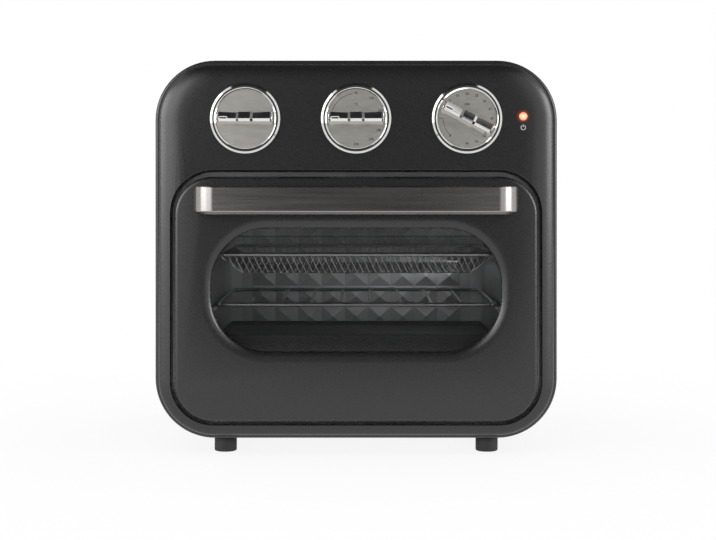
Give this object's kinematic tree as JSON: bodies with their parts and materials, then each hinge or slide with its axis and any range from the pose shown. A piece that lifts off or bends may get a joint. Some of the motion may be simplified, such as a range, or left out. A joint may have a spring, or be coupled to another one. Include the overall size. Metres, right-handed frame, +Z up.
{
  "type": "air fryer oven",
  "caption": "Square countertop air fryer oven with rounded corners, dials above a drop-down glass door with a strap handle, pull-out racks and a fan heater in the roof.",
  "frame": {"origin": "centre of the overall box on the table plane, at the underside of the feet", "axes": "+X to the right as seen from the front, +Y from the front to the back, +Z up"},
  "size_m": [0.35, 0.3192, 0.3425],
  "materials": {
    "charcoal_paint": "satin powder coat",
    "charcoal_plastic": "satin moulded plastic",
    "black_plastic": "moulded black plastic",
    "zinc_sheet": "zinc coated sheet steel",
    "rubber": "black rubber",
    "cavity_steel": "coated sheet steel",
    "heater_steel": "dark heat-treated steel tube",
    "chrome": "polished chrome",
    "dial_metal": "spun warm grey metal",
    "dark_brushed": "dark brushed steel",
    "glass": "clear tempered glass",
    "amber": "glowing amber lens",
    "wire": "plated steel wire",
    "enamel": "black enamel on steel"
  },
  "bodies": {
    "housing": {"outer_wrap": "charcoal_paint", "rear_cover": "charcoal_paint", "cord_inlet": "black_plastic", "base_plate": "zinc_sheet", "foot_front_left": "rubber", "foot_front_right": "rubber", "foot_rear_left": "rubber", "foot_rear_right": "rubber", "front_fascia": "charcoal_plastic", "front_frame": "zinc_sheet", "door_seal": "rubber", "cavity_side_left": "cavity_steel", "cavity_side_right": "cavity_steel", "cavity_floor": "cavity_steel", "cavity_ceiling": "cavity_steel", "cavity_back": "cavity_steel", "lower_heater": "heater_steel", "upper_heater": "heater_steel", "fan_guard": "cavity_steel", "motor_bracket": "zinc_sheet", "fan_motor": "zinc_sheet", "function_dial_ring": "chrome", "function_dial_plate": "dial_metal", "temperature_dial_ring": "chrome", "temperature_dial_plate": "dial_metal", "timer_dial_ring": "chrome", "timer_dial_plate": "dial_metal", "function_switch": "black_plastic", "thermostat": "zinc_sheet", "timer_movement": "zinc_sheet", "lamp_lens": "amber", "lamp_holder": "black_plastic", "hinge_bracket_left": "zinc_sheet", "hinge_bracket_right": "zinc_sheet"},
    "door": {"door_panel": "charcoal_plastic", "door_glass": "glass", "door_inner_frame": "charcoal_paint", "door_handle": "dark_brushed", "handle_screw_left": "chrome", "handle_screw_right": "chrome", "frame_screw_upper_left": "chrome", "frame_screw_upper_right": "chrome", "frame_screw_lower_left": "chrome", "frame_screw_lower_right": "chrome", "hinge_pin_left": "chrome", "hinge_pin_right": "chrome"},
    "function_knob": {"function_knob": "dark_brushed"},
    "temperature_knob": {"temperature_knob": "dark_brushed"},
    "timer_knob": {"timer_knob": "dark_brushed"},
    "fan": {"fan_shaft": "heater_steel", "circulation_fan": "zinc_sheet", "cooling_fan": "zinc_sheet"},
    "wire_rack": {"wire_rack": "wire"},
    "mesh_basket": {"mesh_basket": "wire", "basket_front_wall": "wire", "basket_rear_wall": "wire", "basket_left_wall": "wire", "basket_right_wall": "wire", "basket_rim": "wire"},
    "drip_tray": {"drip_tray": "enamel"}
  },
  "joints": [
    {"name": "door_hinge", "type": "hinge", "parent": "housing", "child": "door", "pos_m": [0, -0.13165, 0.04], "axis": [1, 0, 0], "range_deg": [0, 90]},
    {"name": "function_knob_turn", "type": "hinge", "parent": "housing", "child": "function_knob", "pos_m": [-0.0957, -0.13365, 0.2914], "axis": [0, 1, 0], "range_deg": [0, 270]},
    {"name": "temperature_knob_turn", "type": "hinge", "parent": "housing", "child": "temperature_knob", "pos_m": [0, -0.13365, 0.2914], "axis": [0, 1, 0], "range_deg": [0, 270]},
    {"name": "timer_knob_turn", "type": "hinge", "parent": "housing", "child": "timer_knob", "pos_m": [0.0957, -0.13365, 0.2914], "axis": [0, 1, 0], "range_deg": [-73, 242]},
    {"name": "fan_spin", "type": "hinge", "parent": "housing", "child": "fan", "pos_m": [0, 0.01665, 0.216], "axis": [0, 0, 1], "continuous": true},
    {"name": "wire_rack_slide", "type": "slide", "parent": "housing", "child": "wire_rack", "axis": [0, -1, 0], "range_m": [0, 0.145]},
    {"name": "mesh_basket_slide", "type": "slide", "parent": "housing", "child": "mesh_basket", "axis": [0, -1, 0], "range_m": [0, 0.185]},
    {"name": "drip_tray_slide", "type": "slide", "parent": "housing", "child": "drip_tray", "axis": [0, -1, 0], "range_m": [0, 0.08]}
  ],
  "couplings": [
    {"joint": "wire_rack_slide", "follows": "door_hinge", "m_per_rad": 0.09},
    {"joint": "mesh_basket_slide", "follows": "door_hinge", "m_per_rad": 0.115},
    {"joint": "drip_tray_slide", "follows": "door_hinge", "m_per_rad": 0.05}
  ]
}
